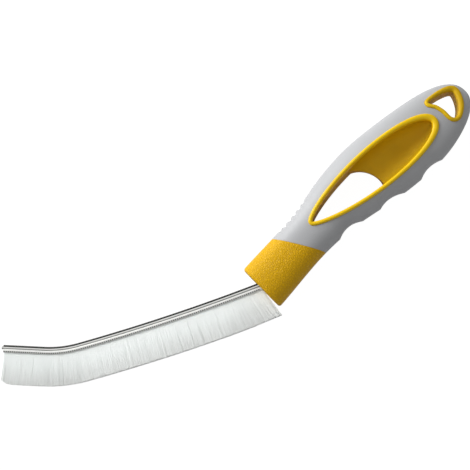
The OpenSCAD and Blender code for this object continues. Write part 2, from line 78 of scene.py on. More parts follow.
def in_mm(name, text, millimetres):
    return bpy.props.FloatProperty(
        name=name, description=text, default=millimetres * MM, unit="LENGTH", precision=5
    )


def in_degrees(name, text, degrees):
    return bpy.props.FloatProperty(
        name=name, description=text, default=math.radians(degrees), unit="ROTATION"
    )


def as_number(name, text, value):
    return bpy.props.FloatProperty(name=name, description=text, default=value)


def as_count(name, text, value):
    return bpy.props.IntProperty(name=name, description=text, default=value)


def as_colour(name, text, rgb):
    return bpy.props.FloatVectorProperty(
        name=name, description=text, default=rgb, size=3, min=0, max=1, subtype="COLOR"
    )


class HandleSizes(bpy.types.PropertyGroup):
    length: in_mm("Length", "Handle from its mouth to its butt", 156.5)
    angle: in_degrees("Angle", "Angle of the handle to the X axis", 45)
    mouth_w: in_mm("Mouth Width", "Width of the handle at its mouth", 28.2)
    mouth_t: in_mm("Mouth Thickness", "Thickness of the handle at its mouth", 21)
    waist_w: in_mm("Waist Width", "Width under the thumb ribs", 26.8)
    belly_w: in_mm("Belly Width", "Width of the handle at its belly", 40)
    belly_t: in_mm("Belly Thickness", "Thickness of the handle at its belly", 26)
    waist_at: in_mm("Waist Place", "Waist's distance from the mouth", 32)
    belly_at: in_mm("Belly Place", "Widest place's distance from the mouth", 98)
    thick_at: in_mm("Thickest Place", "Thickest place's distance from the mouth", 88)
    mouth_rise: in_mm("Mouth Rise", "Middle line's offset at the mouth", 0.9)
    crest_rise: in_mm("Crest Rise", "Middle line's offset at its crest", 4.9)
    crest_at: in_mm("Crest Place", "Crest's distance from the mouth", 60)
    shoulder_at: in_mm("Shoulder Place", "Beyond it the middle line runs straight", 132)
    section_power: as_number("Section Power", "Squareness of the handle's section", 2.4)
    butt_power: as_number("Butt Power", "Bluntness of the butt in its width", 2.25)
    thin_power: as_number("Thinning Power", "Bluntness of the butt in its thickness", 1.9)
    mouth_round: in_mm("Mouth Rounding", "Rounding of the collar's front edge", 1.5)
    joint_at: in_mm("Joint Place", "Joint of collar and grip, from the mouth", 30.6)
    joint_slant: in_degrees("Joint Slant", "Slant of the joint of collar and grip", 31)
    joint_round: in_mm("Joint Rounding", "Rounding of the edges at the joint", 0.25)
    core_w: in_mm("Core Width", "Width of the core in the collar", 18)
    core_t: in_mm("Core Thickness", "Thickness of the core in the collar", 14)
    core_rise: in_mm("Core Rise", "Offset of the core from the handle's axis", 2)
    core_inset: in_mm("Core Inset", "Depth of the core's face in the mouth", 0.8)
    fit: in_mm("Fit", "Clearance between the handle's pieces", 0.05)
    rib_at: in_mm("First Rib", "First thumb rib's distance from the mouth", 31.1)
    rib_pitch: in_mm("Rib Pitch", "Distance from rib to rib", 4.1)
    rib_count: as_count("Ribs", "Number of thumb ribs", 5)
    rib_w: in_mm("Rib Width", "Width of a thumb rib", 2.9)
    rib_h: in_mm("Rib Height", "Height of a rib above its recess", 0.95)
    recess_ramp: in_mm("Recess Ramp", "Slope at either end of the ribs' recess", 1.5)
    scallop_at: in_mm("First Scallop", "First finger scallop's middle from the mouth", 57.5)
    scallop_pitch: in_mm("Scallop Pitch", "Distance from scallop to scallop", 27.3)
    scallop_count: as_count("Scallops", "Number of finger scallops", 3)
    scallop_w: in_mm("Scallop Length", "Length of a finger scallop", 16)
    scallop_depth: in_mm("Scallop Depth", "Depth of a finger scallop", 2.1)


class OpeningSizes(bpy.types.PropertyGroup):
    loop_at: in_mm("Loop Place", "Loop's front tip from the mouth", 44.5)
    loop_length: in_mm("Loop Length", "Length of the loop's opening", 83.6)
    loop_w: in_mm("Loop Width", "Width of the loop's opening", 19.4)
    loop_rise: in_mm("Loop Rise", "Offset of the loop's axis at its front tip", 6.2)
    loop_fall: in_mm("Loop Fall", "Offset of the loop's axis at its butt end", -0.3)
    front_power: as_number("Front Power", "Sharpness of the loop's front end", 0.75)
    back_power: as_number("Back Power", "Sharpness of the loop's butt end", 0.53)
    eye_at: in_mm("Eye Place", "Hanging eye's opening from the mouth", 135.2)
    eye_length: in_mm("Eye Length", "Length of the hanging eye's opening", 14.6)
    eye_w: in_mm("Eye Width", "Width of the hanging eye's opening", 16.4)
    bead_w: in_mm("Bead Width", "Width of the liners' beads", 2.3)
    bead_swell: in_mm("Bead Swell", "Extra width of the beads at the butt end", 1.3)
    bead_h: in_mm("Bead Height", "Height of the beads above the grip", 1)
    crown_h: in_mm("Crown Height", "Height of a bead's rounded crown", 1.2)
    web_t: in_mm("Web Thickness", "Thickness of the web across the loop", 2.4)
    web_dish: in_mm("Web Dish", "Rise of the web from its middle to its edge", 5)
    web_hold: in_mm("Web Hold", "Depth of the web's edge inside the liner", 0.8)
    web_share: as_number("Web Middle", "Place of the web's middle, as a share of the loop", 0.74)
    arch_r: in_mm("Arch Radius", "Radius of the web's arched front edge", 16.7)
    arch_at: in_mm("Arch Place", "Arch's centre from the mouth", 71.2)
    arch_drop: in_mm("Arch Drop", "Arch's centre below the handle's axis", 2.5)


class StripSizes(bpy.types.PropertyGroup):
    main_angle: in_degrees("Main Angle", "Main run's angle where it enters the handle", 21.3)
    tip_angle: in_degrees("Tip Angle", "Tip run's angle to the X axis", -2)
    main_turn: in_degrees("Main Turn", "Gentle turn of the main run", 5.3)
    tip_run: in_mm("Tip Run", "Length of the straight tip run", 23)
    tip_bend_r: in_mm("Tip Bend", "Bend radius behind the tip run", 60)
    main_run: in_mm("Main Run", "Length of the main run", 104.2)
    entry_rise: in_mm("Entry Rise", "Offset of the strip's back at the mouth", 4.5)
    entry_depth: in_mm("Entry Depth", "Length of the main run inside the mouth", 1)
    tang_bend_r: in_mm("Tang Bend", "Bend radius of the tang in the core", 15)
    channel_w: in_mm("Channel Width", "Width of the steel channel", 4.4)
    channel_h: in_mm("Channel Height", "Height of the steel channel", 4.1)
    channel_wall: in_mm("Channel Wall", "Thickness of the channel's steel", 0.6)
    groove_at: in_mm("Groove Place", "Depth of the groove below the back", 2)
    groove_w: in_mm("Groove Width", "Width of the rolled groove", 0.9)
    groove_depth: in_mm("Groove Depth", "Depth of the rolled groove", 0.22)
    back_round: in_mm("Back Rounding", "Rounding of the channel's back edges", 0.5)
    lip_round: in_mm("Lip Rounding", "Rounding of the channel's lips", 0.12)
    tang_share: as_number("Tang Share", "Share of the tang's bend that the channel follows", 0.9)
    tick_pitch: in_mm("Crimp Pitch", "Distance from crimp mark to crimp mark", 1.2)
    tick_share: as_number("Tick Share", "Share of the pitch that a crimp mark fills", 0.55)
    tick_h: in_mm("Tick Height", "Height of a crimp mark", 0.55)
    tick_proud: in_mm("Tick Thickness", "Thickness of a crimp mark, half of it above the steel", 0.16)


class BristleSizes(bpy.types.PropertyGroup):
    length: in_mm("Length", "Length of the bristles below the channel", 17.6)
    root_recess: in_mm("Root Recess", "Depth of the roots inside the channel", 1.5)
    pitch: in_mm("Pitch", "Distance from filament to filament along the strip", 0.2)
    rows: as_count("Rows", "Rows of filaments across", 14)
    thickness: in_mm("Thickness", "Thickness of a filament", 0.24)
    root_width: in_mm("Root Width", "Width of the fill at its roots", 3)
    spread: in_mm("Spread", "Width of the fill at its ends", 7)
    heel_lean: in_degrees("Heel Lean", "Lean of the last filaments at the handle", 15)
    heel_stretch: in_mm("Heel Stretch", "Stretch over which the filaments lean", 26)
    tip_drop: in_mm("Tip Drop", "Loss of length at the very tip", 2.4)
    tip_drop_run: in_mm("Tip Drop Run", "Stretch over which the tip gets shorter", 6)
    scatter: in_mm("Trim Scatter", "Scatter of the filaments' lengths", 0.7)
    sway: in_mm("Sway", "Sway of the filaments' ends", 0.4)
    heel_gap: in_mm("Heel Gap", "Last roots past the mouth, on the back line", 1.5)
    first: in_mm("First Filament", "First filament from the strip's end", 0.4)


class Colours(bpy.types.PropertyGroup):
    collar: as_colour("Collar", "Collar and core", (0.75, 0.425, 0.003))
    collar_deep: as_colour("Collar Seams", "Seams of the collar's grain", (0.52, 0.27, 0.001))
    liner: as_colour("Liner", "Beads of the loop and the eye", (0.84, 0.55, 0.004))
    # Darker liner colour for the walls and the web: painted shade of the recess
    liner_painted_shade: as_colour("Liner In Painted Shade", "Walls and web between the beads", (0.57, 0.345, 0.0015))
    grey: as_colour("Grey", "Grip", (0.45, 0.455, 0.465))
    steel: as_colour("Steel", "Channel", (0.60, 0.605, 0.585))
    wire: as_colour("Wire", "Drawn core wire", (0.17, 0.17, 0.16))
    # Near-black steel, painted: a dark reflection on the channel's back fold, darker bands at its
    # groove and lip, and the shade of the crimp marks' dents
    painted_dark_steel: as_colour("Dark Steel", "Near-black steel for painted shade", (0.03, 0.03, 0.028))
    nylon: as_colour("Nylon", "Bristles", (0.97, 1.0, 0.985))
    # Greyer nylon toward the ends: painted shade of the gaps between clumps
    nylon_ends_shaded: as_colour("Nylon Ends", "Trimmed ends of the bristles", (0.86, 0.87, 0.855))
    floor: as_colour("Floor", "Floor of the stage", (0.80, 0.80, 0.80))


GROUPS = {
    "handle": HandleSizes,
    "openings": OpeningSizes,
    "strip": StripSizes,
    "bristles": BristleSizes,
    "colours": Colours,
}


def settings(key):
    return getattr(bpy.context.scene, "brush_" + key)


# Plain curves
def ease(s):
    return (1 - np.cos(np.pi * np.clip(s, 0, 1))) / 2


def mix(a, b, s):
    return a + (b - a) * s


def rounded(x, power):
    return np.sign(x) * np.abs(x) ** (2 / power)


# Outline of the handle: u runs from its mouth to its butt, v towards the thumb, w across
def cap(u, start, power):
    h = settings("handle")
    past = np.clip((u - start) / (h.length - start), 0, 1)
    return np.maximum(1 - past**power, 0) ** (1 / power)


def mouth_loss(u):
    r = settings("handle").mouth_round
    return r - np.sqrt(r**2 - np.clip(r - u, 0, r) ** 2)


def half_width(u):
    h = settings("handle")
    front = mix(h.mouth_w, h.waist_w, ease(u / h.waist_at))
    back = mix(h.waist_w, h.belly_w, ease((u - h.waist_at) / (h.belly_at - h.waist_at)))
    full = np.where(u < h.waist_at, front, back) / 2
    return cap(u, h.belly_at, h.butt_power) * full - mouth_loss(u)


def half_thickness(u):
    h = settings("handle")
    full = mix(h.mouth_t, h.belly_t, ease(u / h.thick_at)) / 2
    return cap(u, h.thick_at, h.thin_power) * full - mouth_loss(u)


def middle(u):
    h = settings("handle")
    rising = mix(h.mouth_rise, h.crest_rise, u / h.crest_at)
    falling = mix(h.crest_rise, 0, ease((u - h.crest_at) / (h.shoulder_at - h.crest_at)))
    return np.where(u < h.crest_at, rising, falling)


def bumps(u, at, pitch, count, width):
    places = at + pitch * np.arange(count)
    return np.max([np.maximum(0, 1 - (2 * (u - p) / width) ** 2) for p in places], axis=0)


def rib_offset(u):
    h = settings("handle")
    start = h.rib_at - h.rib_w / 2
    stop = h.rib_at + (h.rib_count - 1) * h.rib_pitch + h.rib_w / 2
    recess = np.clip(np.minimum(u - start, stop - u) / h.recess_ramp + 1, 0, 1)
    return h.rib_h * (bumps(u, h.rib_at, h.rib_pitch, h.rib_count, h.rib_w) - recess)


def scallop_offset(u):
    h = settings("handle")
    return h.scallop_depth * bumps(u, h.scallop_at, h.scallop_pitch, h.scallop_count, h.scallop_w)


RIB_EDGE_POWER = 5
SCALLOP_EDGE_POWER = 2
SKIN_LEAST = 0.02


def skin_height(u, v):
    h = settings("handle")
    side = np.abs(v - middle(u)) / np.maximum(half_width(u), NEAR_ZERO)
    level = np.maximum(1 - side**h.section_power, SKIN_LEAST)
    return half_thickness(u) * level ** (1 / h.section_power)


def handle_rings(stations, sides):
    h = settings("handle")
    u = np.asarray(stations)[:, None]
    a = np.linspace(0, 2 * np.pi, sides, endpoint=False)[None, :]
    v = (
        middle(u)
        + half_width(u) * rounded(np.cos(a), h.section_power)
        + rib_offset(u) * np.maximum(np.cos(a), 0) ** RIB_EDGE_POWER
        + scallop_offset(u) * np.maximum(-np.cos(a), 0) ** SCALLOP_EDGE_POWER
    )
    w = half_thickness(u) * rounded(np.sin(a), h.section_power)
    return np.stack([np.broadcast_to(u, v.shape), v, w], axis=2)


# Place of the handle in the frame, worked out from the core, which sits in its mouth
def mouth_place():
    h = settings("handle")
    low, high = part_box("neck_core")
    reach = h.core_w / 2
    c, s = math.cos(h.angle), math.sin(h.angle)
    return Vector((
        low.x - (h.core_inset * c - (h.core_rise + reach) * s),
        low.y - (h.core_inset * s + (h.core_rise - reach) * c),
        (low.z + high.z) / 2,
    ))


def on_handle(points):
    h = settings("handle")
    c, s = math.cos(h.angle), math.sin(h.angle)
    p = np.asarray(points, float)
    mouth = mouth_place()
    u, v, w = p[..., 0], p[..., 1], p[..., 2]
    return np.stack([mouth.x + u * c - v * s, mouth.y + u * s + v * c, mouth.z + w], axis=-1)


# Outline of the loop and of the hanging eye
def loop_outline(count):
    o = settings("openings")
    t = np.linspace(0, 2 * np.pi, count, endpoint=False)
    s = (1 - np.cos(t)) / 2
    full = o.front_power / (o.front_power + o.back_power)
    half = o.loop_w / 2 * (s / full) ** o.front_power * ((1 - s) / (1 - full)) ** o.back_power
    side = np.where(t < np.pi, -1, 1)
    axis = mix(o.loop_rise, o.loop_fall, s)
    return np.stack([o.loop_at + o.loop_length * s, axis + side * half], axis=1)


EYE_KNOTS = (
    (0, 0.98), (0.13, 0.5), (0.2, -0.1), (0.2, -0.7), (0.31, -0.93),
    (0.5, -0.87), (0.79, -0.43), (0.98, 0.24), (0.93, 0.56), (0.5, 0.88),
)


def eye_outline(steps):
    o = settings("openings")
    knots = np.array(EYE_KNOTS)
    axis = float(middle(o.eye_at))
    k = np.stack([o.eye_at + o.eye_length * knots[:, 0], axis + o.eye_w / 2 * knots[:, 1]], axis=1)
    p, q, r, s = (np.roll(k, -step, 0)[:, None, :] for step in range(4))
    t = (np.arange(steps) / steps)[None, :, None]
    bend, twist = (2 * p - 5 * q + 4 * r - s) / 2, (3 * q - p - 3 * r + s) / 2
    curve = q + (r - p) / 2 * t + bend * t**2 + twist * t**3
    return curve.reshape(-1, 2)


def outward(line):
    d = np.roll(line, -1, 0) - np.roll(line, 1, 0)
    return np.stack([d[:, 1], -d[:, 0]], axis=1) / np.linalg.norm(d, axis=1)[:, None]


LOOP_SWELL_POWER = 6
EYE_SWELL_POWER = 2


def loop_and_eye(loop_steps):
    """Either opening's name and outline, with the width of its bead at each point."""
    o = settings("openings")
    for name, line, start, length, power in (
        ("loop", loop_outline(loop_steps), o.loop_at, o.loop_length, LOOP_SWELL_POWER),
        ("eye", eye_outline(EYE_STEPS), o.eye_at, o.eye_length, EYE_SWELL_POWER),
    ):
        share = np.clip((line[:, 0] - start) / length, 0, 1)
        yield name, line, o.bead_w + o.bead_swell * share**power


# Mesh code
def add_object(name, data):
    item = bpy.data.objects.new(name, data)
    bpy.context.scene.collection.objects.link(item)
    return item


def new_piece(name, vertices, faces, smooth=True):
    points = [tuple(v) for v in np.asarray(vertices, float)]
    mesh = bpy.data.meshes.new(name)
    mesh.from_pydata(points, [], [tuple(f) for f in faces])
    mesh.polygons.foreach_set("use_smooth", [smooth] * len(mesh.polygons))
    return add_object(name, mesh)


def handle_solid(name, points, faces, smooth=True, scale=1.0):
    """A closed piece, given in the handle's own axes and moved to its place."""
    piece = new_piece(name, on_handle(points) * scale, faces, smooth)
    outward_normals(piece.data)
    return piece


def band(rings, sides, wrap=False):
    faces = []
    for i in range(rings if wrap else rings - 1):
        n = (i + 1) % rings
        for j in range(sides):
            k = (j + 1) % sides
            faces.append((i * sides + j, n * sides + j, n * sides + k, i * sides + k))
    return faces


def tube(sides):
    ends = [tuple(range(sides)), tuple(range(2 * sides - 1, sides - 1, -1))]
    return band(2, sides) + ends


def fan(first, sides, apex):
    return [(first + j, apex, first + (j + 1) % sides) for j in range(sides)]


def outward_normals(mesh):
    bm = bmesh.new()
    bm.from_mesh(mesh)
    bmesh.ops.remove_doubles(bm, verts=bm.verts, dist=WELD)
    bmesh.ops.recalc_face_normals(bm, faces=bm.faces)
    bm.to_mesh(mesh)
    bm.free()


def evaluated(piece):
    """Turns the piece with its modifiers into a plain mesh."""
    bpy.context.view_layer.update()
    graph = bpy.context.evaluated_depsgraph_get()
    mesh = bpy.data.meshes.new_from_object(piece.evaluated_get(graph), depsgraph=graph)
    old = piece.data
    piece.modifiers.clear()
    piece.data = mesh
    mesh.name = piece.name
    if old.users == 0:
        bpy.data.meshes.remove(old)
    return piece


def boolean(piece, cutters, operation="DIFFERENCE"):
    for cutter in cutters:
        m = piece.modifiers.new(operation, "BOOLEAN")
        m.operation, m.solver, m.object = operation, "EXACT", cutter
    evaluated(piece)
    for cutter in cutters:
        bpy.data.objects.remove(cutter)
    return piece


def soften(piece, degrees=38):
    piece.data.polygons.foreach_set("use_smooth", [True] * len(piece.data.polygons))
    piece.data.set_sharp_from_angle(angle=math.radians(degrees))
    return piece


def prism(name, outline, low, high):
    points = [(*p, low) for p in outline] + [(*p, high) for p in outline]
    return handle_solid(name, points, tube(len(outline)), smooth=False)


JOINT_EDGE = math.radians(60)


def cut_at_joint(mesh, gap, keep_rear):
    """Cuts a handle form at the slanted joint, closes it and rounds the edge."""
    h = settings("handle")
    direction = h.angle + h.joint_slant
    normal = Vector((math.cos(direction), math.sin(direction), 0))
    at = on_handle([[h.joint_at, float(middle(h.joint_at)), 0]])[0]
    point = Vector(at) + normal * gap
    bm = bmesh.new()
    bm.from_mesh(mesh)
    result = bmesh.ops.bisect_plane(
        bm, geom=bm.verts[:] + bm.edges[:] + bm.faces[:], plane_co=point, plane_no=normal,
        clear_inner=keep_rear, clear_outer=not keep_rear,
    )
    rim = [e for e in result["geom_cut"] if isinstance(e, bmesh.types.BMEdge)]
    bmesh.ops.edgeloop_fill(bm, edges=rim)
    rim = [e for e in bm.edges if e.is_valid and e.calc_face_angle(0) > JOINT_EDGE
           and all(abs((v.co - point).dot(normal)) < WELD for v in e.verts)]
    bmesh.ops.bevel(
        bm, geom=rim, offset=h.joint_round, segments=3, profile=0.5, affect="EDGES",
        clamp_overlap=True,
    )
    bmesh.ops.recalc_face_normals(bm, faces=bm.faces)
    bm.to_mesh(mesh)
    bm.free()


def place(piece, material, slot, *nodes):
    piece.data.materials.clear()
    piece.data.materials.append(material)
    piece.data.polygons.foreach_set("material_index", [0] * len(piece.data.polygons))
    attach(piece, "root")
    if nodes:
        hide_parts(*nodes)
    return piece


# Path of the strip: s runs from its tip to the tang's bend in the core
PATH_STEP = 0.8 * MM


def ahead(angle):
    return np.array([math.cos(angle), math.sin(angle)])


def below(angle):
    return np.array([math.sin(angle), -math.cos(angle)])


def along_arc(at, angle, length, turn, s):
    """Point and angle after s of a stretch that starts at an angle and turns in its length."""
    if not turn:
        return at + ahead(angle) * s, angle
    now = angle + turn * s / length
    return at + (below(now) - below(angle)) * length / turn, now


class StripPath:
    """The strip's back line in four stretches: tip run, tip bend, main run and tang bend."""

    def __init__(self):
        p, h = settings("strip"), settings("handle")
        mouth = mouth_place()
        self.z = mouth.z
        tip_turn = p.main_angle - p.main_turn - p.tip_angle
        tang_turn = h.angle - p.main_angle
        self.tip_arc = p.tip_bend_r * tip_turn
        self.tang_arc = p.tang_bend_r * tang_turn
        self.stop = p.tip_run + self.tip_arc + p.main_run
        self.stretches = []
        s, at, angle = 0.0, np.zeros(2), p.tip_angle
        for length, turn in (
            (p.tip_run, 0.0), (self.tip_arc, tip_turn),
            (p.main_run, p.main_turn), (self.tang_arc, tang_turn),
        ):
            self.stretches.append((s, at, angle, length, turn))
            at, angle = along_arc(at, angle, length, turn, length)
            s += length
        # The main run has to end in the handle's mouth
        entry = np.array([-math.sin(h.angle), math.cos(h.angle)]) * p.entry_rise
        end = np.array([mouth.x, mouth.y]) + entry + ahead(p.main_angle) * p.entry_depth
        self.shift = end - self.stretches[-1][1]

    def point(self, s, depth=0.0):
        for start, *stretch in reversed(self.stretches):
            if s >= start:
                break
        back, angle = along_arc(*stretch, s - start)
        x, y = back + self.shift + below(angle) * depth
        return (x, y, self.z)

    def line(self, name, start, stop, depth=0.0):
        """A mesh of one open line along the strip."""
        count = max(2, int(math.ceil((stop - start) / PATH_STEP)) + 1)
        points = [self.point(s, depth) for s in np.linspace(start, stop, count)]
        mesh = bpy.data.meshes.new(name)
        mesh.from_pydata(points, [(i, i + 1) for i in range(count - 1)], [])
        return add_object(name, mesh)


# Node code
class Net:
    """Adds nodes to a tree: inputs are given by name or number, as a socket or a value."""

    def __init__(self, tree):
        self.tree = tree

    def feed(self, socket, value):
        if isinstance(value, bpy.types.NodeSocket):
            self.tree.links.new(value, socket)
        else:
            socket.default_value = value

    def add(self, kind, inputs=None, out=0, **values):
        node = self.tree.nodes.new(kind)
        for key, value in values.items():
            setattr(node, key, value)
        for key, value in (inputs or {}).items():
            self.feed(node.inputs[key], value)
        return node if out is None else node.outputs[out]

    def geo(self, kind, inputs=None, out=0, **values):
        return self.add("GeometryNode" + kind, inputs, out, **values)

    def math(self, operation, *values, clamp=False):
        inputs = dict(enumerate(values))
        return self.add("ShaderNodeMath", inputs, operation=operation, use_clamp=clamp)

    plus = partialmethod(math, "ADD")
    minus = partialmethod(math, "SUBTRACT")
    times = partialmethod(math, "MULTIPLY")
    over = partialmethod(math, "DIVIDE")
    highest = partialmethod(math, "MAXIMUM")

    def vector(self, operation, a, b):
        return self.add("ShaderNodeVectorMath", {0: a, 1: b}, operation=operation)

    def scaled(self, vector, factor):
        return self.add("ShaderNodeVectorMath", {0: vector, "Scale": factor}, operation="SCALE")

    def combine(self, x=0.0, y=0.0, z=0.0):
        return self.add("ShaderNodeCombineXYZ", {0: x, 1: y, 2: z})

    def part(self, vector, axis):
        return self.add("ShaderNodeSeparateXYZ", {0: vector}, out=axis)

    def noise(self, vector, scale, detail, out=0):
        inputs = {"Vector": vector, "Scale": scale, "Detail": detail}
        return self.add("ShaderNodeTexNoise", inputs, out=out)

    def colours(self, factor, a, b):
        a, b = (x if isinstance(x, bpy.types.NodeSocket) else (*x, 1) for x in (a, b))
        return self.add("ShaderNodeMix", {0: factor, 6: a, 7: b}, out=2, data_type="RGBA")

    def ramp(self, factor, stops):
        node = self.add("ShaderNodeValToRGB", {0: factor}, out=None)
        elements = node.color_ramp.elements
        while len(elements) < len(stops):
            elements.new(0.5)
        for element, (at, value) in zip(elements, stops):
            element.position = at
            element.color = (value, value, value, 1)
        return node.outputs[0]

    def keep(self, geometry, name, value, domain="POINT"):
        inputs = {"Geometry": geometry, "Name": name, "Value": value}
        return self.geo("StoreNamedAttribute", inputs, data_type="FLOAT", domain=domain)


def new_tree(name, kind, outputs, **inputs):
    """A node group, whose sockets' labels are given by their kind, with commas between them."""
    tree = bpy.data.node_groups.new(name, kind + "NodeTree")
    for in_out, sockets in (("INPUT", inputs), ("OUTPUT", outputs)):
        for socket_kind, labels in sockets.items():
            for label in labels.split(", "):
                tree.interface.new_socket(
                    label, in_out=in_out, socket_type="NodeSocket" + socket_kind
                )
    net = Net(tree)
    return net, net.add("NodeGroupInput", out=None).outputs


def geometry_tree(name, **inputs):
    both = {"Geometry": "Geometry"}
    net, given = new_tree(name, "Geometry", both, **both, **inputs, Material="Material")
    net.tree.is_modifier = True
    return net, given


def run_tree(piece, net, values):
    """Gives the piece the tree with its inputs set, and turns the result into a plain mesh."""
    modifier = piece.modifiers.new(net.tree.name, "NODES")
    modifier.node_group = net.tree
    for item in net.tree.interface.items_tree:
        if item.in_out == "INPUT" and item.name in values:
            modifier[item.identifier] = values[item.name]
    return evaluated(piece)


def finish_tree(net, geometry, given):
    realized = net.geo("RealizeInstances", {0: geometry})
    inputs = {"Geometry": realized, "Material": given["Material"]}
    net.add("NodeGroupOutput", {0: net.geo("SetMaterial", inputs)}, out=None)
    return net


def sweep_tree():
    net, given = geometry_tree("Strip Sweep", Object="Profile")
    curve = net.geo("MeshToCurve", {0: given["Geometry"]})
    upright = net.geo("SetCurveNormal", {"Curve": curve}, mode="Z_UP")
    profile = net.geo("ObjectInfo", {"Object": given["Profile"]}, out="Geometry")
    depth = net.part(net.geo("InputPosition"), 0)
    inputs = {"Curve": upright, "Profile Curve": net.keep(profile, "depth", depth)}
    swept = net.geo("CurveToMesh", {**inputs, "Fill Caps": True})
    return finish_tree(net, swept, given)


def crimp_tree():
    net, given = geometry_tree("Crimp Marks", Float="Pitch, Side, Long, High, Proud")
    curve = net.geo("MeshToCurve", {0: given["Geometry"]})
    inputs = {"Curve": curve, "Length": given["Pitch"]}
    spaced = net.geo("ResampleCurve", inputs, mode="LENGTH")
    tangent = net.geo("InputTangent")
    turned = net.add("FunctionNodeAlignRotationToVector", {"Vector": tangent}, axis="X")
    size = net.combine(given["Long"], given["High"], given["Proud"])
    block = net.geo("MeshCube", {"Size": size})
    both = net.geo("JoinGeometry", out=None)
    for sign in (1.0, -1.0):
        shift = net.combine(z=net.times(given["Side"], sign))
        moved = net.geo("SetPosition", {"Geometry": spaced, "Offset": shift})
        inputs = {"Points": moved, "Instance": block, "Rotation": turned}
        marks = net.geo("InstanceOnPoints", inputs)
        net.tree.links.new(marks, both.inputs[0])
    return finish_tree(net, both.outputs[0], given)


# Stray of the roots as a share of their pitch, and of the filaments' lean in radians
ROOT_STRAY = 0.17
LEAN_STRAY = 0.004
FILAMENT_TAPER = 0.8
SWAY_SCALE = 420.0
SWAY_POWER = 3.0
SWAY_SHARES = (1.0, 0.25, 0.6)


def bristle_tree():
    net, given = geometry_tree(
        "Bristle Fill", Int="Columns, Rows, Seed",
        Float="Thickness, Length, Root Width, Spread, From, Run, Heel At, Heel Lean, "
              "Heel Stretch, Tip Drop, Tip Drop Run, Scatter, Sway",
    )

    def draw(low, high, step):
        inputs = {2: low, 3: high, "Seed": net.plus(given["Seed"], step)}
        return net.add("FunctionNodeRandomValue", inputs, out=1, data_type="FLOAT")

    # Place of each root along the strip and across it
    curve = net.geo("MeshToCurve", {0: given["Geometry"]})
    count = net.times(given["Columns"], given["Rows"])
    points = net.geo("Points", {"Count": count})
    index = net.geo("InputIndex")
    row = net.math("MODULO", index, given["Rows"])
    column = net.math("FLOOR", net.over(index, given["Rows"]))
    column = net.plus(net.plus(column, 0.5), draw(-ROOT_STRAY, ROOT_STRAY, 0.0))
    factor = net.over(column, given["Columns"], clamp=True)
    along = net.math("MULTIPLY_ADD", factor, given["Run"], given["From"])
    inputs = {"Curves": curve, "Factor": factor}
    sample = net.geo("SampleCurve", inputs, out=None, mode="FACTOR").outputs
    row = net.plus(net.plus(row, 0.5), draw(-ROOT_STRAY, ROOT_STRAY, 1.0))
    across = net.minus(net.over(row, given["Rows"]), 0.5)
    shift = net.combine(z=net.times(across, given["Root Width"]))
    place_at = net.vector("ADD", sample["Position"], shift)
    rooted = net.geo("SetPosition", {"Geometry": points, "Position": place_at})
    # Lean of the last filaments, eased in over the heel's stretch
    late = net.plus(net.minus(along, given["Heel At"]), given["Heel Stretch"])
    late = net.over(late, given["Heel Stretch"], clamp=True)
    half_turn = net.math("COSINE", net.times(late, math.pi))
    eased = net.math("MULTIPLY_ADD", half_turn, -0.5, 0.5)
    lean = net.times(given["Heel Lean"], eased)
    lean = net.plus(lean, draw(-LEAN_STRAY, LEAN_STRAY, 2.0))
    tangent = sample["Tangent"]
    down = net.combine(net.part(tangent, 1), net.times(net.part(tangent, 0), -1.0))
    straight = net.scaled(down, net.math("COSINE", lean))
    leaning = net.scaled(tangent, net.math("SINE", lean))
    widening = net.minus(given["Spread"], given["Root Width"])
    widening = net.over(widening, given["Length"])
    splay = net.combine(z=net.times(across, widening))
    direction = net.vector("ADD", net.vector("ADD", straight, leaning), splay)
    turned = net.add("FunctionNodeAlignRotationToVector", {"Vector": direction}, axis="Z")
    # Length: trimmed a little unevenly, and shorter at the very tip
    drop = net.over(along, given["Tip Drop Run"])
    drop = net.minus(1.0, drop, clamp=True)
    loss = net.times(given["Tip Drop"], net.times(drop, drop))
    loss = net.plus(loss, net.times(given["Scatter"], draw(0.0, 1.0, 3.0)))
    size = net.combine(1.0, 1.0, net.minus(given["Length"], loss))
    radius = net.times(given["Thickness"], 0.5)
    filament = net.geo("MeshCone", {
        "Vertices": 4, "Side Segments": 2, "Depth": 1.0, "Radius Bottom": radius,
        "Radius Top": net.times(radius, FILAMENT_TAPER)}, fill_type="NGON")
    filament = net.keep(filament, "along", net.part(net.geo("InputPosition"), 2))
    inputs = {"Points": rooted, "Instance": filament, "Rotation": turned, "Scale": size}
    planted = net.geo("InstanceOnPoints", inputs)
    planted = net.keep(planted, "shade", draw(0.0, 1.0, 4.0), domain="INSTANCE")
    realized = net.geo("RealizeInstances", {0: planted})
    # Neighbours sway together, the more so towards their ends
    held = net.geo("InputNamedAttribute", {"Name": "along"}, data_type="FLOAT")
    reach = net.times(net.math("POWER", held, SWAY_POWER), given["Sway"])
    noise = net.noise(net.geo("InputPosition"), SWAY_SCALE, 1.0, "Color")
    sway = net.scaled(net.vector("SUBTRACT", noise, (0.5, 0.5, 0.5)), reach)
    sway = net.vector("MULTIPLY", sway, SWAY_SHARES)
    swayed = net.geo("SetPosition", {"Geometry": realized, "Offset": sway})
    return finish_tree(net, swayed, given)


# Materials
def grain_group(name):
    """Cells of a moulded grain, as a height and as a mask of their seams."""
    net, given = new_tree(
        name, "Shader", {"Float": "Height, Seams"}, Vector="Vector", Float="Scale"
    )
    at, scale = given["Vector"], given["Scale"]
    bend = net.scaled(net.noise(at, scale, 2.0, "Color"), net.over(0.8, scale))
    inputs = {"Vector": net.vector("ADD", at, bend), "Scale": scale}
    cells = net.add("ShaderNodeTexVoronoi", inputs, out="Distance", feature="DISTANCE_TO_EDGE")
    plates = net.ramp(cells, ((0.0, 0.0), (0.22, 1.0)))
    fine = net.noise(at, net.times(scale, 3.1), 3.0)
    height = net.math("MULTIPLY_ADD", fine, 0.35, plates)
    seams = net.minus(1.0, plates)
    net.add("NodeGroupOutput", {"Height": height, "Seams": seams}, out=None)
    return net.tree


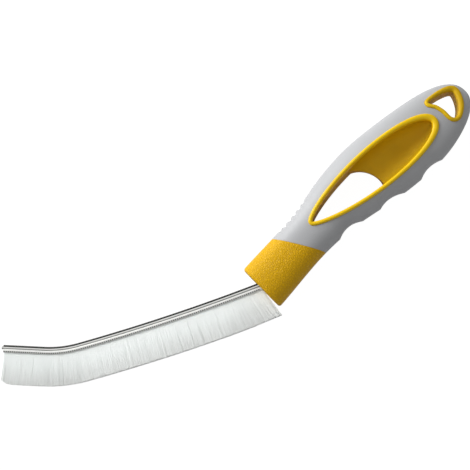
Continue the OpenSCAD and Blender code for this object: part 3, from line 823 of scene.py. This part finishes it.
def wear_group(name):
    """Patches that handling has polished or dulled, as a mask round the middle value."""
    net, given = new_tree(
        name, "Shader", {"Float": "Roughness, Mask"}, Vector="Vector", Float="Scale, Amount"
    )
    mask = net.ramp(net.noise(given["Vector"], given["Scale"], 4.0), ((0.35, 0.0), (0.68, 1.0)))
    offset = net.times(net.minus(mask, 0.5), given["Amount"])
    net.add("NodeGroupOutput", {"Roughness": offset, "Mask": mask}, out=None)
    return net.tree


def streak_group(name):
    """Fine lines along X, as on drawn or rolled metal."""
    net, given = new_tree(name, "Shader", {"Float": "Height"}, Vector="Vector", Float="Scale")
    drawn = net.vector("MULTIPLY", given["Vector"], (0.06, 1.0, 1.0))
    net.add("NodeGroupOutput", {"Height": net.noise(drawn, given["Scale"], 3.0)}, out=None)
    return net.tree


EFFECTS = {
    "Moulded Grain": grain_group,
    "Handling Wear": wear_group,
    "Drawn Streaks": streak_group,
}


class Look(Net):
    """The net of a material, whose Principled BSDF takes values by the sockets' names."""

    def __init__(self, name, **values):
        self.material = bpy.data.materials.new(name)
        self.material.use_nodes = True
        super().__init__(self.material.node_tree)
        self.bsdf = self.tree.nodes["Principled BSDF"]
        for label, value in values.items():
            self.put(label.replace("_", " "), value)
        self.at = self.add("ShaderNodeTexCoord", out="Object")

    def put(self, label, value):
        self.feed(self.bsdf.inputs[label], value)

    def kept(self, name):
        return self.add("ShaderNodeAttribute", out="Fac", attribute_name=name)

    def effect(self, name, **inputs):
        tree = bpy.data.node_groups.get(name) or EFFECTS[name](name)
        inputs["Vector"] = self.at
        return self.add("ShaderNodeGroup", inputs, out=None, node_tree=tree).outputs

    def bump(self, height, strength, distance):
        inputs = {"Height": height, "Strength": strength, "Distance": distance}
        self.put("Normal", self.add("ShaderNodeBump", inputs))

    def finish(self, factor, a, b, roughness):
        """Blends the two colours by the factor and sets the roughness."""
        self.put("Base Color", self.colours(factor, a, b))
        self.put("Roughness", roughness)
        return self.material


def toned(colour, factor):
    return [factor * x for x in colour]


def collar_material():
    c = settings("colours")
    look = Look("Grained Yellow Plastic", IOR=1.5, Specular_IOR_Level=0.14)
    grain = look.effect("Moulded Grain", Scale=850.0)
    wear = look.effect("Handling Wear", Scale=55.0, Amount=0.10)
    deep = look.times(grain["Seams"], 0.5)
    rough = look.plus(wear["Roughness"], 0.38)
    look.bump(grain["Height"], strength=0.8, distance=0.19 * MM)
    return look.finish(deep, c.collar, c.collar_deep, rough)


def liner_material():
    c = settings("colours")
    look = Look("Satin Yellow Plastic", IOR=1.5, Specular_IOR_Level=0.2)
    wear = look.effect("Handling Wear", Scale=70.0, Amount=0.08)
    peel = look.effect("Moulded Grain", Scale=900.0)
    # The walls and the web between the beads get the darker liner colour as painted shade of the
    # recess, with a little handling wear mixed in, and they are rougher
    middle_z = sum(corner.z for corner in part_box("loop_liner")) / 2
    height = look.math("ABSOLUTE", look.minus(look.part(look.at, 2), middle_z))
    recess = look.ramp(look.over(height, middle_z), ((0.62, 1.0), (0.80, 0.0)))
    wear_and_painted_shade = look.math("MULTIPLY_ADD", wear["Mask"], 0.2, look.times(recess, 0.8))
    matt = look.math("MULTIPLY_ADD", recess, 0.25, 0.30)
    rough = look.plus(wear["Roughness"], matt)
    look.bump(peel["Height"], strength=0.08, distance=0.04 * MM)
    return look.finish(wear_and_painted_shade, c.liner, c.liner_painted_shade, rough)


def grip_material():
    c = settings("colours")
    look = Look("Satin Grey Plastic", IOR=1.5, Specular_IOR_Level=0.2)
    wear = look.effect("Handling Wear", Scale=38.0, Amount=0.12)
    skin = look.effect("Moulded Grain", Scale=1500.0)
    seams = look.times(skin["Seams"], 0.25)
    tint = look.math("MULTIPLY_ADD", wear["Mask"], 0.35, seams)
    rough = look.plus(wear["Roughness"], 0.42)
    look.bump(skin["Height"], strength=0.18, distance=0.05 * MM)
    return look.finish(tint, c.grey, toned(c.grey, 0.86), rough)


# Dark bands of the channel by its depth, as a share of its height: a painted dark reflection on the
# rounded back fold, and darker bands at the groove and the lip
PAINTED_REFLECTION_AND_BANDS = (
    (0.0, 1.0), (0.24, 1.0), (0.28, 0.0), (0.38, 0.0),
    (0.43, 0.75), (0.56, 0.75), (0.61, 0.0), (0.97, 0.25),
)


def steel_material():
    """Dull zinc, darker by its depth below the channel's back: a painted dark reflection on the back
    fold, and darker bands at the groove and the lip.
    """
    c = settings("colours")
    look = Look("Galvanised Steel", Metallic=0.9)
    depth = look.over(look.kept("depth"), settings("strip").channel_h)
    spangle = look.add("ShaderNodeTexVoronoi", {"Vector": look.at, "Scale": 500.0}, out="Color")
    spangle = look.add("ShaderNodeSeparateColor", {0: spangle})
    streaks = look.effect("Drawn Streaks", Scale=2600.0)["Height"]
    tone = look.math("MULTIPLY_ADD", spangle, 0.25, look.times(streaks, 0.25))
    zinc = look.colours(tone, c.steel, toned(c.steel, 0.75))
    rough = look.math("MULTIPLY_ADD", streaks, 0.2, 0.30)
    look.bump(streaks, strength=0.3, distance=0.04 * MM)
    return look.finish(look.ramp(depth, PAINTED_REFLECTION_AND_BANDS), zinc, c.painted_dark_steel, rough)


def dark_steel_material(name, colour):
    look = Look(name, Metallic=1.0)
    streaks = look.effect("Drawn Streaks", Scale=3000.0)["Height"]
    rough = look.math("MULTIPLY_ADD", streaks, 0.2, 0.4)
    look.bump(streaks, strength=0.3, distance=0.04 * MM)
    return look.finish(streaks, colour, toned(colour, 1.7), rough)


def nylon_material():
    c = settings("colours")
    look = Look("White Nylon", IOR=1.53, Roughness=0.5, Specular_IOR_Level=0.4)
    # Toward their ends the filaments turn greyer in random streaks: painted shade of the gaps between
    # clumps
    ends = look.ramp(look.kept("along"), ((0.45, 0.0), (1.0, 1.0)))
    clump = look.noise(look.vector("MULTIPLY", look.at, (1.0, 0.12, 1.0)), 700.0, 2.0)
    shade = look.times(look.plus(look.kept("shade"), clump), 0.75)
    painted_shade_streaks = look.times(ends, shade)
    look.put("Base Color", look.colours(painted_shade_streaks, c.nylon, c.nylon_ends_shaded))
    return look.material


# Steps along the handle and round it
HANDLE_SIDES = 96
LOOP_CUT_STEPS = 200
LOOP_STEPS = 220
ARCH_STEPS = 60
MOUTH_STEPS = 8
CROWN_STEPS = 12
CORNER_STEPS = 4
GROOVE_STEPS = 8
CORE_SIDES = 64
GRIP_STEP = 0.55 * MM
COLLAR_STEP = 0.8 * MM
BUTT_RUN = 20 * MM
BUTT_STEPS = 40
EYE_STEPS = 14
WEB_STEPS = 22
WEB_POWER = 4
# The smooth forms stay just inside the faceted outline of the construction
INSIDE = np.array((0.9996, 0.9996, 1.0))
CROWN_SINK = 0.07 * MM
END_SINK = 0.1 * MM
# Sizes that the bristles' tree takes as they are
OWN_SIZES = (
    "Rows", "Thickness", "Root Width", "Spread", "Heel Lean", "Heel Stretch",
    "Tip Drop", "Tip Drop Run", "Scatter", "Sway",
)


# Operators
class MakeGrip(bpy.types.Operator):
    """Builds the grey grip with its thumb ribs, finger scallops and two openings"""

    bl_idname = "brush.make_grip"
    bl_label = "Grip"

    def execute(self, context):
        h = settings("handle")
        first = h.joint_at - h.belly_w / 2 * math.tan(h.joint_slant) - MM
        run = np.arange(first, h.length - BUTT_RUN, GRIP_STEP)
        turn = np.linspace(0, np.pi / 2, BUTT_STEPS)[:-1]
        stations = np.concatenate([run[:-1], h.length - BUTT_RUN * (1 - np.sin(turn))])
        rings = handle_rings(stations, HANDLE_SIDES)
        points = [*rings.reshape(-1, 3), (h.length, float(middle(h.length)), 0)]
        apex = len(points) - 1
        faces = band(len(stations), HANDLE_SIDES) + [tuple(reversed(range(HANDLE_SIDES)))]
        faces += fan(apex - HANDLE_SIDES, HANDLE_SIDES, apex)
        piece = handle_solid("grip_shell", points, faces, scale=INSIDE)
        cut_at_joint(piece.data, 0.0, keep_rear=True)
        far = h.belly_t
        cutters = []
        for name, line, width in loop_and_eye(LOOP_CUT_STEPS):
            edge = line + outward(line) * (width + h.fit)[:, None]
            cutters.append(prism(name + "_cut", edge, -far, far))
        boolean(piece, cutters)
        place(soften(piece), grip_material(), "grip_plastic", "grip")
        return {"FINISHED"}


class MakeCollar(bpy.types.Operator):
    """Builds the grained yellow collar round the handle's core"""

    bl_idname = "brush.make_collar"
    bl_label = "Collar"

    def execute(self, context):
        h = settings("handle")
        mouth = h.mouth_round * (1 - np.cos(np.linspace(0, np.pi / 2, MOUTH_STEPS + 1)))
        end = h.joint_at + h.belly_w / 2 * math.tan(h.joint_slant)
        run = np.arange(h.mouth_round + COLLAR_STEP, end, COLLAR_STEP)
        stations = np.concatenate([mouth, run])
        rings = handle_rings(stations, HANDLE_SIDES)
        first, last = range(HANDLE_SIDES), rings.size // 3 - HANDLE_SIDES
        faces = band(len(stations), HANDLE_SIDES)
        faces += [tuple(reversed(first)), tuple(last + j for j in first)]
        piece = handle_solid("collar_sleeve", rings.reshape(-1, 3), faces)
        cut_at_joint(piece.data, -h.fit, keep_rear=False)
        a = np.linspace(0, 2 * np.pi, CORE_SIDES, endpoint=False)
        v = h.core_rise + (h.core_w / 2 + h.fit) * rounded(np.cos(a), h.section_power)
        w = (h.core_t / 2 + h.fit) * rounded(np.sin(a), h.section_power)
        points = [(u, *p) for u in (-h.core_inset, end + MM) for p in zip(v, w)]
        boolean(piece, [handle_solid("core_cut", points, tube(CORE_SIDES), smooth=False)])
        place(soften(piece), collar_material(), "collar_plastic", "collar")
        return {"FINISHED"}


def liner_mesh(name, line, width):
    """A liner's wall, with a rounded bead at either end, all round its opening."""
    o = settings("openings")
    out = outward(line)
    mid = line + out * (width / 2)[:, None]
    foot = skin_height(mid[:, 0], mid[:, 1]) + o.bead_h - o.crown_h
    a = np.linspace(0, np.pi, CROWN_STEPS + 1)
    rings = []
    for end in (1, -1):
        r = width[:, None] / 2 * (1 - end * np.cos(a))[None, :]
        xy = line[:, None, :] + out[:, None, :] * r[:, :, None]
        z = end * (foot[:, None] + (o.crown_h - CROWN_SINK) * np.sin(a)[None, :])
        rings.append(np.concatenate([xy, z[:, :, None]], axis=2))
    ring = np.concatenate(rings, axis=1)
    faces = band(len(line), ring.shape[1], wrap=True)
    return handle_solid(name, ring.reshape(-1, 3), faces)


class MakeLiners(bpy.types.Operator):
    """Builds the yellow liners of the loop, with its dished web, and of the hanging eye"""

    bl_idname = "brush.make_liners"
    bl_label = "Liners"

    def execute(self, context):
        yellow = liner_material()
        for name, line, width in loop_and_eye(LOOP_STEPS):
            bead = liner_mesh(name + "_bead", line, width)
            if name == "loop":
                boolean(bead, [self.web(line)], "UNION")
            place(soften(bead), yellow, "liner_plastic", name + "_liner")
        return {"FINISHED"}

    def web(self, line):
        o = settings("openings")
        edge = line + outward(line) * o.web_hold
        axis = mix(o.loop_rise, o.loop_fall, o.web_share)
        centre = np.array([o.loop_at + o.loop_length * o.web_share, axis])
        shares = np.sin(np.linspace(0, np.pi / 2, WEB_STEPS + 1))[1:]
        n = len(line)
        rings = []
        for side, order in ((-1, shares), (1, shares[::-1])):
            for share in order:
                z = np.full((n, 1), side * (o.web_t / 2 + o.web_dish * share**WEB_POWER))
                rings.append(np.hstack([mix(centre, edge, share), z]))
        points = [*np.concatenate(rings), (*centre, o.web_t / 2), (*centre, -o.web_t / 2)]
        apex = 2 * WEB_STEPS * n
        faces = band(2 * WEB_STEPS, n) + fan(apex - n, n, apex)
        faces += [face[::-1] for face in fan(0, n, apex + 1)]
        piece = handle_solid("loop_web", points, faces)
        far = o.loop_length
        t = np.linspace(-np.pi / 2, np.pi / 2, ARCH_STEPS)
        arch_u, arch_v = o.arch_r * np.cos(t), o.arch_r * np.sin(t)
        arch = np.stack([o.arch_at + arch_u, -o.arch_drop + arch_v], axis=1)
        below_arch = np.array([[o.arch_at - far, -far], [o.arch_at, -far]])
        above_arch = np.array([[o.arch_at, far], [o.arch_at - far, far]])
        outline = np.concatenate([below_arch, arch, above_arch])
        return boolean(piece, [prism("arch_cut", outline, -far, far)])


class MakeStrip(bpy.types.Operator):
    """Builds the folded steel channel, its crimp marks, and dresses the wire and the core"""

    bl_idname = "brush.make_strip"
    bl_label = "Channel and Wire"

    def execute(self, context):
        p, c = settings("strip"), settings("colours")
        path = StripPath()
        steel, dark = steel_material(), dark_steel_material("Tarnished Steel", c.painted_dark_steel)
        channel = path.line("steel_channel", 0, path.stop + path.tang_arc * p.tang_share)
        profile = self.profile()
        run_tree(channel, sweep_tree(), {"Profile": profile, "Material": steel})
        bpy.data.objects.remove(profile)
        outward_normals(channel.data)
        place(soften(channel, degrees=50), steel, "channel_steel", "strip_channel")
        # The crimp marks are near-black steel: painted shade of the stamped dents
        start, end = p.tick_pitch / 2, path.stop - p.entry_depth
        marks = path.line("crimp_marks", start, end, p.channel_h - p.tick_h)
        run_tree(marks, crimp_tree(), {
            "Pitch": p.tick_pitch, "Side": p.channel_w / 2, "Long": p.tick_pitch * p.tick_share,
            "High": p.tick_h, "Proud": p.tick_proud, "Material": dark})
        place(marks, dark, "channel_steel")
        self.dress("core_wire", dark_steel_material("Drawn Wire", c.wire))
        self.dress("neck_core", collar_material())
        return {"FINISHED"}

    def dress(self, node, material):
        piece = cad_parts[node]
        piece.data.materials.clear()
        piece.data.materials.append(material)

    def profile(self):
        """The channel's section as a closed curve: x is depth below the back, y height across."""
        p = settings("strip")
        half, wall = p.channel_w / 2, p.channel_wall
        turn = np.linspace(0, np.pi / 2, CORNER_STEPS + 1)
        r = p.back_round
        corner = [(r - r * math.cos(t), half - r + r * math.sin(t)) for t in turn]
        swing = np.linspace(-np.pi, np.pi, GROOVE_STEPS + 1)
        groove = [(p.groove_at + p.groove_w / 2 * t / np.pi,
                   half - p.groove_depth * (1 + math.cos(t)) / 2) for t in swing]
        lip = [(p.channel_h - p.lip_round, half), (p.channel_h, half - p.lip_round),
               (p.channel_h, half - wall)]
        upper = corner + groove + lip + [(wall, half - wall)]
        points = upper + [(x, -y) for x, y in reversed(upper)]
        curve = bpy.data.curves.new("channel_profile", "CURVE")
        curve.dimensions = "2D"
        spline = curve.splines.new("POLY")
        spline.points.add(len(points) - 1)
        for point, (x, y) in zip(spline.points, points):
            point.co = (x, y, 0, 1)
        spline.use_cyclic_u = True
        return add_object("channel_profile", curve)


class MakeBristles(bpy.types.Operator):
    """Plants the nylon filaments along the channel, before the bend and behind it"""

    bl_idname = "brush.make_bristles"
    bl_label = "Bristles"

    def execute(self, context):
        b, p = settings("bristles"), settings("strip")
        path = StripPath()
        nylon = nylon_material()
        net = bristle_tree()
        stop = path.stop - p.entry_depth + b.heel_gap
        split = p.tip_run + path.tip_arc / 2
        for name, node, start, end, seed in (
            ("tip_filaments", "bristles_tip", b.first, split, 11),
            ("heel_filaments", "bristles_heel", split, stop, 37),
        ):
            piece = path.line(name, start, end, p.channel_h - b.root_recess)
            values = {label: getattr(b, label.lower().replace(" ", "_")) for label in OWN_SIZES}
            values.update({
                "Columns": int((end - start) / b.pitch), "Seed": seed, "Material": nylon,
                "Length": b.length + b.root_recess - END_SINK,
                "From": start, "Run": end - start, "Heel At": stop})
            run_tree(piece, net, values)
            place(piece, nylon, "bristle_nylon", node)
        return {"FINISHED"}


# Place, diameter in metres and power in watts of each lamp
LAMPS = {
    "key": ((-0.60, 0.50, 0.37), 0.7, 10.0),
    "ceiling": ((-0.20, 0.05, 0.80), 0.45, 0.6),
}
ROOM_LIGHT = 0.32
FLOOR_REACH = 2.0
FLOOR_GLOW = 1.1
# Share of the glow in what the camera sees of the floor, and in what reflections show of it
FLOOR_SEEN = 0.89
FLOOR_REFLECTED = 0.2
CAMERA_AT = Vector((0.03976, -0.0646, 0.4949))
CAMERA_TARGET = Vector((-0.00031, 0.0, 0.01287))
CAMERA_UP = Vector((-0.0104, 1, 0))
CAMERA_LENS = 67.84
CAMERA_SENSOR = 36.0


def empty_net(owner):
    owner.use_nodes = True
    owner.node_tree.nodes.clear()
    return Net(owner.node_tree)


def ray_kinds(net):
    """Whether a ray is the camera's, straight or through glass, and whether it is reflected."""
    ray = net.add("ShaderNodeLightPath", out=None).outputs
    return net.highest(ray["Is Camera Ray"], ray["Is Transmission Ray"]), ray["Is Glossy Ray"]


class MakeStage(bpy.types.Operator):
    """Sets up the floor, the studio light and the camera at the photograph's viewing angle"""

    bl_idname = "brush.make_stage"
    bl_label = "Stage"

    def execute(self, context):
        scene = context.scene
        scene.view_settings.view_transform = "Standard"
        corners = ((-1, -1), (1, -1), (1, 1), (-1, 1))
        points = [(FLOOR_REACH * x, FLOOR_REACH * y, cad_box[0].z) for x, y in corners]
        floor = new_piece("floor", points, [(0, 1, 2, 3)])
        floor.data.materials.append(self.floor_material())
        floor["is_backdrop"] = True
        self.world(scene)
        for name, (at, size, power) in LAMPS.items():
            self.lamp(name, at, size, power)
        self.camera(scene)
        return {"FINISHED"}

    def floor_material(self):
        c = settings("colours")
        material = bpy.data.materials.new("White Floor")
        net = empty_net(material)
        grain = net.noise(net.add("ShaderNodeTexCoord", out="Object"), 900.0, 2.0)
        colour = net.colours(net.times(grain, 0.04), c.floor, toned(c.floor, 0.9))
        diffuse = net.add("ShaderNodeBsdfDiffuse", {"Color": colour})
        glow = net.add("ShaderNodeEmission", {"Color": (1, 1, 1, 1), "Strength": FLOOR_GLOW})
        seen, reflected = ray_kinds(net)
        share = net.highest(seen, net.times(reflected, FLOOR_REFLECTED))
        share = net.times(share, FLOOR_SEEN)
        mixed = net.add("ShaderNodeMixShader", {0: share, 1: diffuse, 2: glow})
        net.add("ShaderNodeOutputMaterial", {"Surface": mixed}, out=None)
        return material

    def world(self, scene):
        world = bpy.data.worlds.new("Studio")
        scene.world = world
        net = empty_net(world)
        room, white = (
            net.add("ShaderNodeBackground", {"Color": (1, 1, 1, 1), "Strength": strength})
            for strength in (ROOM_LIGHT, 1.0)
        )
        shown = net.highest(*ray_kinds(net))
        mixed = net.add("ShaderNodeMixShader", {0: shown, 1: room, 2: white})
        net.add("ShaderNodeOutputWorld", {"Surface": mixed}, out=None)

    def lamp(self, name, at, size, power):
        data = bpy.data.lights.new(name, "AREA")
        data.shape, data.size, data.energy = "DISK", size, power
        self.aim(add_object(name, data), at, (-Vector(at)).to_track_quat("-Z", "Y"))

    def camera(self, scene):
        data = bpy.data.cameras.new("camera")
        data.sensor_width, data.lens = CAMERA_SENSOR, CAMERA_LENS
        scene.camera = add_object("camera", data)
        forward = (CAMERA_TARGET - CAMERA_AT).normalized()
        right = forward.cross(CAMERA_UP).normalized()
        axes = Matrix((right, right.cross(forward), -forward)).transposed()
        self.aim(scene.camera, CAMERA_AT, axes.to_quaternion())

    def aim(self, item, at, turn):
        item.location = at
        item.rotation_mode = "QUATERNION"
        item.rotation_quaternion = turn


OPERATORS = (MakeGrip, MakeCollar, MakeLiners, MakeStrip, MakeBristles, MakeStage)


class BrushPanel(bpy.types.Panel):
    """Lists the steps that build the brush"""

    bl_idname = "VIEW3D_PT_grout_brush"
    bl_label = "Grout Brush"
    bl_space_type = "VIEW_3D"
    bl_region_type = "UI"
    bl_category = "Grout Brush"

    def draw(self, context):
        for key, group in GROUPS.items():
            box = self.layout.box()
            box.label(text=group.__name__)
            for name in group.__annotations__:
                box.prop(settings(key), name)
        for operator in OPERATORS:
            self.layout.operator(operator.bl_idname)


def register():
    for cls in (*GROUPS.values(), *OPERATORS, BrushPanel):
        bpy.utils.register_class(cls)
    for key, group in GROUPS.items():
        setattr(bpy.types.Scene, "brush_" + key, bpy.props.PointerProperty(type=group))


def unregister():
    for key in GROUPS:
        delattr(bpy.types.Scene, "brush_" + key)
    for cls in reversed((*GROUPS.values(), *OPERATORS, BrushPanel)):
        bpy.utils.unregister_class(cls)


def main():
    register()
    for operator in OPERATORS:
        group, name = operator.bl_idname.split(".")
        getattr(getattr(bpy.ops, group), name)()
    boxes = [[list(corner) for corner in pair] for pair in (cad_box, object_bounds())]


if __name__ == "__main__":
    main()
